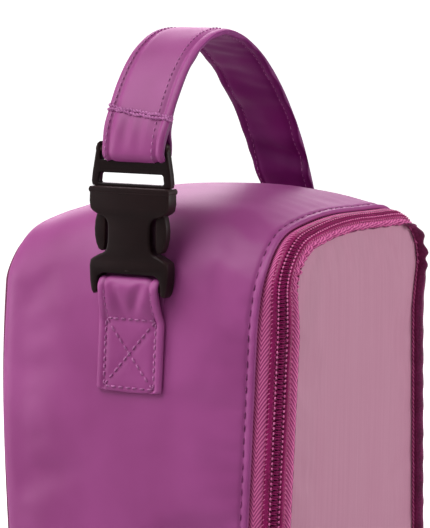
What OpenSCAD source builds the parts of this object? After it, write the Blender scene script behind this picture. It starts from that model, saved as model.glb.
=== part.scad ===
// Skate bag: an upright arched bag with a zipped front door, padded walls and
// a strap handle that unclips with a side-release buckle.
// Origin: centre of the underside of the base. +X runs along the front door,
// -Y is the front, +Z is up. The buckle is on the -X side.

/* [Body] */
// Width across the shoulders of the leatherette wrap
bag_w = 186; // [170:1:210]
// Depth of the wrap, front edge to back edge
bag_d = 156; // [145:1:175]
// Height of the crest above the floor
bag_h = 320; // [300:1:340]
// Radius of the two top corners
corner_r = 42; // [38:1:52]
// Radius of the slightly domed top
crown_r = 300; // [260:10:400]
// Outward lean of the sides, degrees from upright
side_lean = 3.5; // [2:0.5:5]

/* [Walls] */
// Thickness of the leatherette wrap
wrap_t = 1.6; // [1.2:0.1:1.8]
// Thickness of the wall padding
foam_t = 4.9; // [3:0.1:5]
// Thickness of the lining cloth
lining_t = 0.75; // [0.5:0.05:0.8]
// Thickness of the base cloth
base_t = 2; // [1.5:0.1:2]

/* [Door and zip] */
// Width of the sloping zip band between wrap and door
zip_band_w = 19; // [19:0.5:21]
// Height of the fixed sill below the door
sill_h = 40; // [40:1:46]
// Thickness of the zip tape
tape_t = 0.8; // [0.6:0.1:0.8]
// Height of the zip coil above its tape
coil_h = 2.95; // [2.6:0.05:3]
// Width of one half of the coil
coil_w = 3.4; // [3:0.1:3.4]
// Free gap between the two coil halves
coil_gap = 1.6; // [1.6:0.1:2]

/* [Handle] */
// Width of the strap
strap_w = 40; // [38:1:41]
// Thickness of the folded strap
strap_t = 3; // [2.4:0.1:3]
// Height of the strap's bottom edge where it is sewn to the side
tab_z = 212; // [205:1:218]

/* [Buckle] */
// Width of the buckle
buckle_w = 51; // [50:1:54]
// Thickness of the socket
socket_t = 10; // [10:0.5:11]
// Thickness of the plug
plug_t = 5; // [4:0.1:5]
// Clearance between plug and socket on each side
fit_gap = 0.4; // [0.3:0.05:0.6]

/* [Hidden] */
$fn = 48;

// Outline of the arch
corner_x = bag_w / 2 - corner_r;
crown_a = asin(corner_x / (crown_r - corner_r));
crown_z = bag_h - crown_r;
corner_z = crown_z + (crown_r - corner_r) * cos(crown_a);
corner_steps = 9;
crown_steps = 8;

// Levels through the walls, counted inward from the outside of the wrap
slack = 0.05;
foam_in = wrap_t + tape_t + 2 * slack;
lining_in = foam_in + foam_t + slack;
room_in = lining_in + lining_t;
front_y = -bag_d / 2;
back_y = bag_d / 2;

// Back wall, from the outside inward
back_foam_y = back_y - wrap_t - slack;
back_foam_t = 4;
back_lining_y = back_foam_y - back_foam_t - slack;
wall_end_y = back_lining_y - lining_t - slack;

// Sloping zip band: u runs from the wrap to the door, n points outward
band_in = 2;
band_y = front_y + 1;
slope = cos(45);
chain_u = 12;
coil_u0 = chain_u - coil_gap / 2 - coil_w;
coil_u1 = chain_u + coil_gap / 2;
door_in = band_in + zip_band_w * slope + slack;
door_back_y = band_y - zip_band_w * slope - 0.5;
door_t = 1.5;
door_front_y = door_back_y - door_t;
door_foam_t = 3.6;
foam_edge = 1.8;
hinge_y = door_back_y + 2;
hinge_z = sill_h + 5.6;
door_z = hinge_z + 0.6;

// Zip slider, parked just above the zip's stops
slider_l = 15;
slider_w = 13;
slider_plate = 1.3;
slider_z = sill_h - 8;
stop_z = slider_z - slider_l / 2 - 3;
pin_d = 1.8;
pin_n = coil_h + 0.6 + slider_plate + 2.3;
pull_l = 22;
pull_w = 7;
eye_w = 3.4;

// Buckle levels above the floor
buckle_x = -(bag_w / 2 + 8.5);
loop_z = tab_z + 57;
body_z = tab_z + 66.5;
waist_z = tab_z + 78;
collar_z = tab_z + 102.5;
rim_z = tab_z + 115.5;
mid_z = tab_z + 126.5;
end_z = tab_z + 136.5;
ear_top_z = tab_z + 140;
bar_d = 4.4;
loop_bar_d = 5;
waist_w = 27;
ear_w = 4.2;
arm_z = collar_z + 2;
arm_gap = 0.6;
arm_l = 25;

// Handle curve
strap_gap = 0.8;
seat_h = 42;
box_h = 18;
fold_h = 26;
near_end = [buckle_x - 3.9, end_z + 3];
near_tangent = [30, 120];
far_lean = 8.5;
far_end = on_corner(strap_t / 2 + slack, far_lean);
far_rise = 114;
split_t = 0.35;

// Point over the right-hand corner, off outside the wrap, as [x, z]
function on_corner(off, angle) =
    [corner_x, corner_z] + (corner_r + off) * [cos(angle), sin(angle)];

// Half width of the arch at a height and an inset
function side_x(z, inset) =
    let (r = corner_r - inset)
    corner_x + r * cos(side_lean)
    + (corner_z + r * sin(side_lean) - z) * tan(side_lean);

// Arch outline at an inset from the wrap's outside, from the floor level z0
function arch_path(inset, z0) =
    let (r = corner_r - inset, sweep = 90 - crown_a - side_lean)
    concat(
        [[side_x(z0, inset), z0]],
        [for (k = [0:corner_steps])
            let (a = side_lean + k * sweep / corner_steps)
            [corner_x + r * cos(a), corner_z + r * sin(a)]],
        [for (k = [1:crown_steps - 1])
            let (a = 90 - crown_a + k * 2 * crown_a / crown_steps)
            [(crown_r - inset) * cos(a), crown_z + (crown_r - inset) * sin(a)]],
        [for (k = [0:corner_steps])
            let (a = 90 + crown_a + k * sweep / corner_steps)
            [-corner_x + r * cos(a), corner_z + r * sin(a)]],
        [[-side_x(z0, inset), z0]]);

// Section point on the sloping zip band, as [inset, y]
function on_band(u, n) = [band_in + (u - n) * slope, band_y - (u + n) * slope];

function box_on_band(u0, u1, n0, n1) =
    [on_band(u0, n0), on_band(u1, n0), on_band(u1, n1), on_band(u0, n1)];

// Cubic curve through the handle, as [x, z]
function handle_at(t) =
    let (p1 = near_end + near_tangent,
         p2 = far_end + far_rise * [-sin(far_lean), cos(far_lean)])
    pow(1 - t, 3) * near_end + 3 * pow(1 - t, 2) * t * p1
    + 3 * (1 - t) * t * t * p2 + pow(t, 3) * far_end;

function handle_normal(t) =
    let (d = handle_at(t + 0.001) - handle_at(t - 0.001))
    [-d[1], d[0]] / norm(d);

// Solid panel with the arch outline between two depths
module arch_plate(inset, z0, y0, y1) {
    translate([0, y1, 0])
        rotate([90, 0, 0])
            linear_extrude(y1 - y0)
                polygon(arch_path(inset, z0));
}

// Wall that follows the arch and is open below
module arch_wall(inset0, inset1, z0, y0, y1) {
    translate([0, y1, 0])
        rotate([90, 0, 0])
            linear_extrude(y1 - y0)
                difference() {
                    polygon(arch_path(inset0, z0));
                    polygon(arch_path(inset1, z0 - 1));
                }
}

// Closed skin through a list of rings with the same number of points
module skin(rings) {
    n = len(rings[0]);
    last = (len(rings) - 1) * n;
    polyhedron(
        points = [for (ring = rings) each ring],
        faces = concat(
            [[for (i = [0:n - 1]) i]],
            [for (j = [0:len(rings) - 2], i = [0:n - 1])
                [j * n + i, (j + 1) * n + i,
                 (j + 1) * n + (i + 1) % n, j * n + (i + 1) % n]],
            [[for (i = [n - 1:-1:0]) last + i]]));
}

// Section of [inset, y] points swept round the whole arch
module arch_sweep(section, z0) {
    paths = [for (s = section) arch_path(s[0], z0)];
    skin([for (j = [0:len(paths[0]) - 1])
        [for (i = [0:len(section) - 1])
            [paths[i][j][0], section[i][1], paths[i][j][1]]]]);
}

// Section of [inset, y] points swept up one straight side
module leg_sweep(section, z0, z1) {
    skin([for (z = [z0, z1]) [for (s = section) [side_x(z, s[0]), s[1], z]]]);
}

module both_legs() {
    children();
    mirror([1, 0, 0]) children();
}

// Moves children from the zip's own axes (u, n, along) to the right-hand leg
module on_right_leg(z) {
    c = on_band(chain_u, 0);
    translate([side_x(z, c[0]), c[1], z])
        rotate([0, -side_lean, 0])
            rotate([0, 0, -135])
                children();
}

// ---- Walls -------------------------------------------------------------

module side_wrap() {
    color("orchid")
        arch_wall(0, wrap_t, base_t, front_y, back_y);
}

module wall_foam() {
    color("white")
        arch_wall(foam_in, foam_in + foam_t, base_t, front_y + 3, back_foam_y - back_foam_t);
}

module wall_lining() {
    color("rosybrown")
        arch_wall(lining_in, room_in, base_t, front_y + 3, wall_end_y);
}

module back_panel() {
    color("mediumvioletred")
        arch_plate(wrap_t + slack, base_t, back_y - wrap_t, back_y);
}

module back_foam() {
    color("white")
        arch_plate(foam_in, base_t, back_foam_y - back_foam_t + slack, back_foam_y);
}

module back_lining() {
    color("rosybrown")
        arch_plate(lining_in, base_t, back_lining_y - lining_t, back_lining_y);
}

module back_piping() {
    color("purple")
        arch_wall(0, 3, base_t, back_y + slack, back_y + 3);
}

module base_cloth() {
    sx = side_x(base_t, 0);
    cut = zip_band_w * slope;
    color("dimgray")
        linear_extrude(base_t - slack)
            polygon([[-sx, back_y], [-sx, band_y], [-sx + cut, door_front_y],
                     [sx - cut, door_front_y], [sx, band_y], [sx, back_y]]);
}

module base_board() {
    sx = side_x(6, room_in) - 0.3;
    color("black")
        translate([-sx, front_y + 4, base_t + slack])
            cube([2 * sx, wall_end_y - front_y - 5, 3]);
}

module front_sill() {
    color("plum")
        intersection() {
            arch_plate(door_in, base_t, door_front_y, door_back_y);
            translate([-bag_w, -bag_d, 0])
                cube([2 * bag_w, 2 * bag_d, sill_h]);
        }
}

module sill_board() {
    sx = side_x(sill_h, door_in) - 3;
    color("white")
        translate([-sx, door_back_y + slack, base_t])
            cube([2 * sx, 3, sill_h - base_t - 2]);
}

// ---- Zip -----------------------------------------------------------------

module zip_tape_body() {
    edge = wrap_t + slack;
    flange = edge + tape_t;
    color("hotpink")
        arch_sweep([[edge, front_y + 16], [flange, front_y + 16],
                    [flange, band_y + 0.9], on_band(chain_u - 0.8, -tape_t),
                    on_band(chain_u - 0.8, 0), [edge, band_y + 0.4]], base_t);
}

module zip_coil_body() {
    color("mediumvioletred")
        arch_sweep(box_on_band(coil_u0, coil_u0 + coil_w, slack, coil_h), stop_z + 2.6);
}

module zip_tape_door() {
    y1 = door_back_y + slack;
    color("hotpink")
        arch_sweep([[door_in + 10, y1 + tape_t], on_band(zip_band_w, -tape_t) + [0, 0.2],
                    on_band(chain_u + 0.8, -tape_t), on_band(chain_u + 0.8, 0),
                    on_band(coil_u1 + coil_w + 0.4, 0),
                    [door_in, y1], [door_in + 10, y1]], door_z);
}

module zip_coil_door() {
    color("mediumvioletred")
        arch_sweep(box_on_band(coil_u1, coil_u1 + coil_w, slack, coil_h), door_z);
}

module zip_end_tabs() {
    color("orchid")
        both_legs()
            leg_sweep(box_on_band(chain_u - 0.7, zip_band_w - 1, -tape_t, 0), base_t, stop_z);
}

module zip_stops() {
    color("silver")
        both_legs()
            leg_sweep(box_on_band(coil_u0, coil_u1 + coil_w, slack, coil_h), stop_z, stop_z + 2.5);
}

// Slider: two plates, two rims and a wedge that parts the coils
module zip_slider() {
    top_n = coil_h + 0.6;
    wedge_t = coil_gap - 0.5;
    lug_w = 1.2;
    color("dimgray")
        on_right_leg(slider_z) {
            translate([-slider_w / 2, top_n, -slider_l / 2])
                cube([slider_w, slider_plate, slider_l]);
            translate([-slider_w / 2, -tape_t - 0.5 - slider_plate, -slider_l / 2])
                cube([slider_w, slider_plate, slider_l]);
            for (x = [-slider_w / 2, slider_w / 2 - slider_plate])
                translate([x, 0.5, -slider_l / 2])
                    cube([slider_plate, top_n, slider_l]);
            translate([-wedge_t / 2, -tape_t - 1, -slider_l / 2])
                cube([wedge_t, top_n + tape_t + 1.2, 5]);
            for (x = [-eye_w / 2 - 0.1 - lug_w, eye_w / 2 + 0.1])
                translate([x, top_n, -pin_d])
                    cube([lug_w, pin_n - top_n + pin_d, 2 * pin_d]);
            translate([-eye_w / 2 - lug_w, pin_n, 0])
                rotate([0, 90, 0])
                    cylinder(h = eye_w + 2 * lug_w, d = pin_d);
        }
}

// Pull: an eye on the slider's pin and a flat tab with a hole
module zip_pull() {
    eye_d = pin_d + 1.8;
    tab_t = 1.4;
    color("gray")
        on_right_leg(slider_z)
            translate([0, pin_n, 0])
                difference() {
                    union() {
                        translate([-eye_w / 2, 0, 0])
                            rotate([0, 90, 0])
                                cylinder(h = eye_w, d = eye_d);
                        translate([-eye_w / 2, -tab_t / 2, -8])
                            cube([eye_w, tab_t, 8]);
                        translate([-pull_w / 2, -tab_t / 2, -pull_l])
                            cube([pull_w, tab_t, pull_l - 5]);
                    }
                    translate([-eye_w, 0, 0])
                        rotate([0, 90, 0])
                            cylinder(h = 2 * eye_w, d = pin_d + 0.1);
                    translate([0, tab_t, 4 - pull_l])
                        rotate([90, 0, 0])
                            cylinder(h = 2 * tab_t, d = 3);
                }
}

// ---- Door ------------------------------------------------------------------

module hinge_strip() {
    sx = side_x(sill_h, door_in) - 3;
    color("plum")
        translate([-sx, hinge_y + 1.2, hinge_z - 16.2])
            cube([2 * sx, 0.8, 16]);
}

module door_panel() {
    color("plum")
        arch_plate(door_in, door_z, door_front_y, door_back_y);
}

module door_foam() {
    y0 = door_back_y + tape_t + 2 * slack;
    color("white")
        arch_plate(door_in + foam_edge, door_z, y0, y0 + door_foam_t);
}

module door_lining() {
    y0 = door_back_y + tape_t + door_foam_t + 3 * slack;
    color("rosybrown")
        arch_plate(door_in + 1, door_z, y0, y0 + lining_t);
}

module door_binding() {
    color("purple")
        arch_wall(door_in, door_in + 3, door_z, door_front_y - 1.5, door_front_y - slack);
}

// ---- Handle ------------------------------------------------------------------

// Strap along the handle curve between two curve parameters
module strap_run(t0, t1) {
    steps = 20;
    ts = [for (k = [0:steps]) t0 + (t1 - t0) * k / steps];
    half = strap_t / 2;
    translate([0, strap_w / 2, 0])
        rotate([90, 0, 0])
            linear_extrude(strap_w)
                polygon(concat(
                    [for (t = ts) handle_at(t) + half * handle_normal(t)],
                    [for (k = [steps:-1:0])
                        handle_at(ts[k]) - half * handle_normal(ts[k])]));
}

// Flat length of strap on the outside of the wrap; side is +1 or -1
module side_patch(side, z0, z1, off0, off1) {
    translate([0, strap_w / 2, 0])
        rotate([90, 0, 0])
            linear_extrude(strap_w)
                polygon([for (p = [[z0, -off0], [z1, -off0], [z1, -off1], [z0, -off1]])
                    [side * side_x(p[0], p[1]), p[0]]]);
}

// Bend of the strap where it leaves the straight side
module far_bend() {
    angles = [side_lean - 0.2, (side_lean + far_lean) / 2, far_lean + 0.2];
    translate([0, strap_w / 2, 0])
        rotate([90, 0, 0])
            linear_extrude(strap_w)
                polygon(concat(
                    [for (a = angles) on_corner(slack, a)],
                    [for (k = [2:-1:0]) on_corner(slack + strap_t, angles[k])]));
}

module strap_far() {
    color("orchid") {
        strap_run(split_t + 0.004, 1);
        far_bend();
        side_patch(1, tab_z, on_corner(0, side_lean)[1], slack, strap_t + slack);
    }
}

// Round eye of folded strap about a bar, seen from the side
module strap_eye(x, z, bar) {
    translate([x, strap_w / 2, z])
        rotate([90, 0, 0])
            cylinder(h = strap_w, d = bar + 2 * strap_gap + 2 * strap_t);
}

module eye_bore(x, z, bar) {
    translate([x, strap_w, z])
        rotate([90, 0, 0])
            cylinder(h = 2 * strap_w, d = bar + 2 * strap_gap);
}

// Tab folded round the socket's loop bar and sewn to the side
module tab_near() {
    layers = 2 * strap_t + slack;
    color("orchid")
        difference() {
            union() {
                side_patch(-1, tab_z, tab_z + seat_h, slack, layers);
                hull() {
                    side_patch(-1, tab_z + seat_h - 1, tab_z + seat_h, slack, layers);
                    strap_eye(buckle_x, loop_z, loop_bar_d);
                }
            }
            eye_bore(buckle_x, loop_z, loop_bar_d);
        }
}

// Near half of the handle, folded round the plug's end bar
module strap_near() {
    eye_d = bar_d + 2 * strap_gap + 2 * strap_t;
    color("orchid")
        difference() {
            union() {
                strap_run(0, split_t);
                strap_eye(buckle_x, end_z, bar_d);
                translate([buckle_x - eye_d / 2, -strap_w / 2, end_z])
                    cube([eye_d / 2 + strap_t, strap_w, fold_h]);
            }
            eye_bore(buckle_x, end_z, bar_d);
        }
}

// ---- Stitching -----------------------------------------------------------------

// Row of short stitches from one point to another in the plane of a patch
module stitch_row(p, q, count) {
    step = (q - p) / count;
    angle = atan2(step[1], step[0]);
    for (k = [0:count - 1])
        translate([p[0] + step[0] * (k + 0.5), p[1] + step[1] * (k + 0.5), 0])
            rotate([0, 0, angle])
                translate([-norm(step) * 0.36, -0.5, 0])
                    cube([norm(step) * 0.72, 1, 0.7]);
}

module box_stitches() {
    w = strap_w / 2 - 4.5;
    h = box_h;
    stitch_row([-w, -h], [w, -h], 5);
    stitch_row([-w, h], [w, h], 5);
    stitch_row([-w, -h + 3], [-w, h - 3], 5);
    stitch_row([w, -h + 3], [w, h - 3], 5);
    stitch_row([-w + 3, -h + 3], [-2, -2], 3);
    stitch_row([2, 2], [w - 3, h - 3], 3);
    stitch_row([-w + 3, h - 3], [-2, 2], 3);
    stitch_row([2, -2], [w - 3, -h + 3], 3);
}

// Lays stitches, drawn flat, on a side patch; off is the height of its face
module on_side(side, z, off) {
    translate([side * side_x(z, -off), 0, z])
        rotate([0, -side * side_lean, 0])
            rotate([90, 0, side * 90])
                children();
}

module tab_stitching() {
    color("violet")
        on_side(-1, tab_z + box_h + 3, 2 * strap_t + 2 * slack)
            box_stitches();
}

module far_stitching() {
    color("violet")
        on_side(1, tab_z + box_h + 3.5, strap_t + 3 * slack)
            box_stitches();
}

module cross_stitching() {
    eye_r = bar_d / 2 + strap_gap + strap_t;
    w = strap_w / 2 - 3;
    color("violet")
        translate([buckle_x - eye_r - 0.75, 0, end_z + fold_h - 5])
            rotate([90, 0, 90])
                for (z = [-2.5, 0, 2.5])
                    stitch_row([-w, z], [w, z], 9);
}

// ---- Buckle ------------------------------------------------------------------------

// Block centred on the buckle's plane, given its width and two levels
module buckle_block(w, t, z0, z1) {
    translate([buckle_x - t / 2, -w / 2, z0])
        cube([t, w, z1 - z0]);
}

module buckle_bar(z, d, w) {
    translate([buckle_x, w / 2, z])
        rotate([90, 0, 0])
            cylinder(h = w, d = d);
}

module buckle_ears(w, t, z0, z1) {
    for (y = [-w / 2, w / 2 - ear_w])
        translate([buckle_x - t / 2, y, z0])
            cube([t, ear_w, z1 - z0]);
}

// Socket: collar, waist with side windows, body and loop bar
module buckle_socket() {
    mouth_t = plug_t + 2 * fit_gap;
    color("black") {
        difference() {
            union() {
                buckle_block(buckle_w, socket_t, collar_z, rim_z);
                buckle_block(waist_w, socket_t, waist_z - 1, collar_z + 1);
            }
            buckle_block(buckle_w - 4.6, mouth_t, collar_z - 0.01, rim_z + 1);
            buckle_block(waist_w - 11, mouth_t, waist_z, collar_z + 1);
        }
        buckle_block(buckle_w - 2, socket_t, body_z, waist_z);
        buckle_ears(buckle_w - 2, 7, loop_z - 4, body_z + 1);
        buckle_bar(loop_z, loop_bar_d, buckle_w - 4);
    }
}

// Plug: root block, guide tongue, ears and two bars for the strap
module buckle_plug() {
    color("black") {
        buckle_block(buckle_w - 5.4, plug_t, arm_z + arm_gap, rim_z - 0.5);
        buckle_block(waist_w - 12, plug_t, waist_z + 3, arm_z + 1);
        buckle_ears(buckle_w, 4.6, rim_z + 0.5, ear_top_z);
        buckle_block(buckle_w - 9, 4, rim_z - 1, rim_z + 0.5);
        buckle_block(buckle_w, 4.6, rim_z + 0.5, rim_z + 2);
        buckle_block(buckle_w - 2, 4.6, mid_z - 2, mid_z + 2);
        buckle_bar(end_z, bar_d, buckle_w - 2);
    }
}

// Springy arm beside the tongue, with its thumb pad outward
module plug_arm(side) {
    root_y = buckle_w / 2 - 9.5;
    pad_y = buckle_w / 2 - 3;
    color("black")
        translate([buckle_x - plug_t / 2, 0, arm_z])
            rotate([90, 0, 90])
                linear_extrude(plug_t)
                    polygon([[side * root_y, 0], [side * (pad_y - 2), 0],
                             [side * (pad_y - 2), -3], [side * pad_y, -5],
                             [side * pad_y, 3 - arm_l], [side * (pad_y - 3), -arm_l],
                             [side * (root_y + 1), -arm_l]]);
}

module plug_arm_front() {
    plug_arm(-1);
}

module plug_arm_rear() {
    plug_arm(1);
}

side_wrap();
wall_foam();
wall_lining();
back_panel();
back_foam();
back_lining();
back_piping();
base_cloth();
base_board();
front_sill();
sill_board();
zip_tape_body();
zip_coil_body();
zip_end_tabs();
zip_stops();
hinge_strip();
door_panel();
door_foam();
door_lining();
door_binding();
zip_tape_door();
zip_coil_door();
zip_slider();
zip_pull();
strap_far();
tab_near();
tab_stitching();
far_stitching();
buckle_socket();
buckle_plug();
plug_arm_front();
plug_arm_rear();
strap_near();
cross_stitching();
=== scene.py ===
"""Looks of an upright skate bag: padded leatherette walls, a zipped front door,
a strap handle and a side-release buckle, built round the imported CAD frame."""
import math

import bmesh
import bpy
from mathutils import Matrix, Quaternion, Vector, noise
from mathutils.bvhtree import BVHTree


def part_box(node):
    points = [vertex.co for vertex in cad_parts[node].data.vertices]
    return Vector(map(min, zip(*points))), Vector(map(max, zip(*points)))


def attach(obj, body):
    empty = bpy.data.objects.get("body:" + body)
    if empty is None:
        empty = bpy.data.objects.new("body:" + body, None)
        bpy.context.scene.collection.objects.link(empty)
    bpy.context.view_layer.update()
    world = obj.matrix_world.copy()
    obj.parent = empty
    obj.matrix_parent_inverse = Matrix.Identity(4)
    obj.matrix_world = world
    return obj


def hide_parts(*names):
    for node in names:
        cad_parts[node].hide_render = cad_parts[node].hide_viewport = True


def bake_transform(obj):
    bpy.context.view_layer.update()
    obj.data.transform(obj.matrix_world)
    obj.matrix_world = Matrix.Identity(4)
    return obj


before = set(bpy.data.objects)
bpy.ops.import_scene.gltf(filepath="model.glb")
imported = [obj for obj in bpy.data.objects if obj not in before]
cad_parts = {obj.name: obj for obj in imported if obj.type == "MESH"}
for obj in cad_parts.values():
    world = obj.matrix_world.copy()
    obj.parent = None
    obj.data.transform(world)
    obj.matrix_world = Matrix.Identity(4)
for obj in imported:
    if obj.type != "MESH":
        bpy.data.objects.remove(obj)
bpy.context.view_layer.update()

# ---- Sizes, in metres

MM = 0.001
wrap_low, wrap_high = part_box("side_wrap")
plug_low, plug_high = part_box("buckle_plug")
door_low, door_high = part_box("door_panel")
base_low, base_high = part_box("base_cloth")
back_low, back_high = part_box("back_lining")

# Arch of the wrap
SIDE_LEAN = math.radians(3.5)
CORNER_R = 42 * MM
CROWN_R = 300 * MM
SHOULDER_W = 186 * MM
FRONT_Y = wrap_low.y
BACK_Y = wrap_high.y
FOOT_Z = wrap_low.z
CREST_Z = wrap_high.z
corner_x = SHOULDER_W / 2 - CORNER_R
crown_a = math.asin(corner_x / (CROWN_R - CORNER_R))
crown_z = CREST_Z - CROWN_R
corner_z = crown_z + (CROWN_R - CORNER_R) * math.cos(crown_a)
shoulder_x = corner_x + CORNER_R * math.cos(SIDE_LEAN)
shoulder_z = corner_z + CORNER_R * math.sin(SIDE_LEAN)
side_len = (shoulder_z - FOOT_Z) / math.cos(SIDE_LEAN)
corner_len = CORNER_R * (math.pi / 2 - crown_a - SIDE_LEAN)
half_len = side_len + corner_len + CROWN_R * crown_a
full_len = 2 * half_len
foot_x = shoulder_x + (shoulder_z - FOOT_Z) * math.tan(SIDE_LEAN)

# Slump of the soft bag
TOP_START = 75 * MM
TOP_SPAN = 58 * MM
BACK_LEAN = 16 * MM
LEAN_START = 10 * MM
LEAN_SPAN = 230 * MM
BACK_DROP = 13.5 * MM
FRONT_DROP = 7 * MM
SHOULDER_LIFT = 5 * MM
LIFT_PLACE = 68 * MM
LIFT_WIDTH = 30 * MM

# Edges of the wrap, and skins
REAR_R = 11 * MM
REAR_TURN = 74
REAR_IN = REAR_R * (1 - math.cos(math.radians(REAR_TURN)))
FOLD_R = 1.4 * MM
STITCH_Y = FRONT_Y + 4.8 * MM
HEM_BACK = 2.8 * MM
WRAP_STITCH = 7.1 * MM
PUCKER_PITCH = 7.2 * MM
SKIN_T = 1.1 * MM
CLOTH_T = 0.6 * MM
LINING_T = 0.5 * MM

# Zip band: u runs from the wrap towards the door, n points outward
BAND_IN = 2 * MM
BAND_Y = FRONT_Y + 1 * MM
BAND_FLAT = 0.5
CHAIN_U = 12 * MM
SLOPE = math.sqrt(0.5)
TOOTH_PITCH = 2.8 * MM
TOOTH_R = 0.5 * MM
GATHER_PITCH = 6.4 * MM
BUMP_PITCH = 15 * MM
SILL_GAP = 2.6 * MM
RIM_IN = 15.9 * MM
RIM_Y = door_low.y - 0.2 * MM
STOP_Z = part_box("zip_coil_body")[0].z
DOOR_Z = door_low.z
TAPE_U = (12.6, 14.0, 15.6, 17.2, 18.6)
HINGE_Y = BAND_Y - 19 * MM * SLOPE + 1.5 * MM
HINGE_Z = DOOR_Z - 0.6 * MM

# Strap and buckle
STRAP_W = 40 * MM
STRAP_T = 3 * MM
EDGE_STITCH = STRAP_W / 2 - 5 * MM
BUCKLE_X = (plug_low.x + plug_high.x) / 2
BUCKLE_STRETCH = 7 / 6
TAB_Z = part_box("tab_near")[0].z
LOOP_Z = TAB_Z + 60.2 * MM
END_Z = TAB_Z + 136.5 * MM
CROSS_Z = END_Z + 20.5 * MM
STRAP_STITCH = 3.9 * MM
BAR_R = 2.2 * MM
LOOP_BAR_R = 2.5 * MM
PLY_T = 2.6 * MM
SEAT_H = 41 * MM
BOX_H = 19.2 * MM
BOX_W = STRAP_W / 2 - 3.9 * MM
BOX_Z = BOX_H + 3 * MM

LEFT_OUT = Vector((-math.cos(SIDE_LEAN), 0, math.sin(SIDE_LEAN)))
RIGHT_OUT = Vector((math.cos(SIDE_LEAN), 0, math.sin(SIDE_LEAN)))


# ---- Arch

def arch(s):
    """Point (x, z) and outward normal at s metres along the wrap's outline
    from the foot of the -X side."""
    if s > half_len:
        (x, z), (nx, nz) = arch(full_len - s)
        return (-x, z), (-nx, nz)
    if s < side_len:
        x = -foot_x + s * math.sin(SIDE_LEAN)
        z = FOOT_Z + s * math.cos(SIDE_LEAN)
        return (x, z), (-math.cos(SIDE_LEAN), math.sin(SIDE_LEAN))
    if s < side_len + corner_len:
        a = math.pi - SIDE_LEAN - (s - side_len) / CORNER_R
        n = (math.cos(a), math.sin(a))
        return (-corner_x + CORNER_R * n[0], corner_z + CORNER_R * n[1]), n
    a = math.pi / 2 + crown_a - (s - side_len - corner_len) / CROWN_R
    n = (math.cos(a), math.sin(a))
    return (CROWN_R * n[0], crown_z + CROWN_R * n[1]), n


def ease(t):
    """Smooth step from 0 to 1."""
    t = min(max(t, 0.0), 1.0)
    return t * t * (3 - 2 * t)


def bell(distance, width):
    """Bump of height 1 that fades within about twice its width."""
    return math.exp(-(distance / width) ** 2)


def on_arch(s, inset, y):
    """Point inside the arch, with the slump of a soft bag: the top falls away
    to the front and back, the back leans out and the zip band lies flatter
    over the top. The far front shoulder is squarer than the near one."""
    (x, z), (nx, nz) = arch(s)
    top = ease((z - CREST_Z + TOP_START) / TOP_SPAN)
    back = ease(y / BACK_Y)
    front = ease(y / FRONT_Y)
    inset *= 1 - BAND_FLAT * top * ease((BAND_Y - y) / (4 * MM))
    inset -= SHOULDER_LIFT * bell(s - half_len - LIFT_PLACE, LIFT_WIDTH) * front
    x -= nx * inset
    z -= nz * inset
    y += BACK_LEAN * back * ease((z - LEAN_START) / LEAN_SPAN)
    z -= (BACK_DROP * back ** 2 + FRONT_DROP * front ** 2) * top
    return Vector((x, y, z))


def foot_s(z):
    """Distance along the outline at which a side reaches the height z."""
    return (z - FOOT_Z) / math.cos(SIDE_LEAN)


def side_x(z):
    """Half width of the bag at a height below the shoulders."""
    return shoulder_x + (shoulder_z - z) * math.tan(SIDE_LEAN)


def side_point(z, off):
    """Point at a height on the -X side, off metres outside the wrap."""
    return Vector((-side_x(z), 0, z)) + LEFT_OUT * off


def on_band(u, n):
    """Inset and depth of a point on the sloping zip band."""
    return BAND_IN + (u - n) * SLOPE, BAND_Y - (u + n) * SLOPE


def band_points(across, n=0.1):
    """Insets and depths of places across the zip band, given in millimetres."""
    return [on_band(u * MM, n * MM) for u in across]


def from_front(pairs):
    """Insets and depths given in millimetres from the wrap's front edge."""
    return [(inset * MM, FRONT_Y + depth * MM) for inset, depth in pairs]


def turn_in(radius, edge, inward, angles):
    """Insets and depths where the wrap turns in at its front or rear edge."""
    turns = [math.radians(a) for a in angles]
    return [(radius * (1 - math.cos(a)), edge + inward * radius * (1 - math.sin(a)))
            for a in turns]


def stations(start, end, step):
    """Evenly spaced values from start to end, about one step apart."""
    count = max(2, round(abs(end - start) / step))
    return [start + (end - start) * i / count for i in range(count + 1)]


def wobble(x, y, z, seed=0.0):
    """Repeatable smooth noise between about -1 and 1."""
    return noise.noise(Vector((x, y, z + 17.3 * seed)))


def circle(centre, side, up, radius, count):
    """Ring of points round a centre."""
    turns = [2 * math.pi * k / count for k in range(count)]
    return [centre + side * (radius * math.cos(a)) + up * (radius * math.sin(a)) for a in turns]


def arc(cx, cy, r, a0, a1, steps):
    """Points of a flat arc, angles in degrees."""
    angles = [math.radians(a0 + (a1 - a0) * i / steps) for i in range(steps + 1)]
    return [(cx + r * math.cos(a), cy + r * math.sin(a)) for a in angles]


# ---- Mesh helpers

def new_object(name, data):
    """New object in the scene."""
    piece = bpy.data.objects.new(name, data)
    bpy.context.collection.objects.link(piece)
    return piece


def fasten(piece, body, slot, *nodes):
    """Ties a piece to its body, and hides the CAD nodes it stands for. The slot argument is not
    used.
    """
    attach(piece, body)
    if nodes:
        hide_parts(*nodes)


def mesh_piece(name, verts, faces, materials, slots, uvs=None):
    mesh = bpy.data.meshes.new(name)
    mesh.from_pydata([tuple(v) for v in verts], [], faces)
    for material in materials:
        mesh.materials.append(material)
    mesh.polygons.foreach_set("use_smooth", [True] * len(faces))
    mesh.polygons.foreach_set("material_index", slots)
    if uvs:
        layer = mesh.uv_layers.new(name="lengths")
        for loop in mesh.loops:
            layer.data[loop.index].uv = uvs[loop.vertex_index]
    mesh.validate()
    return new_object(name, mesh)


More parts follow.
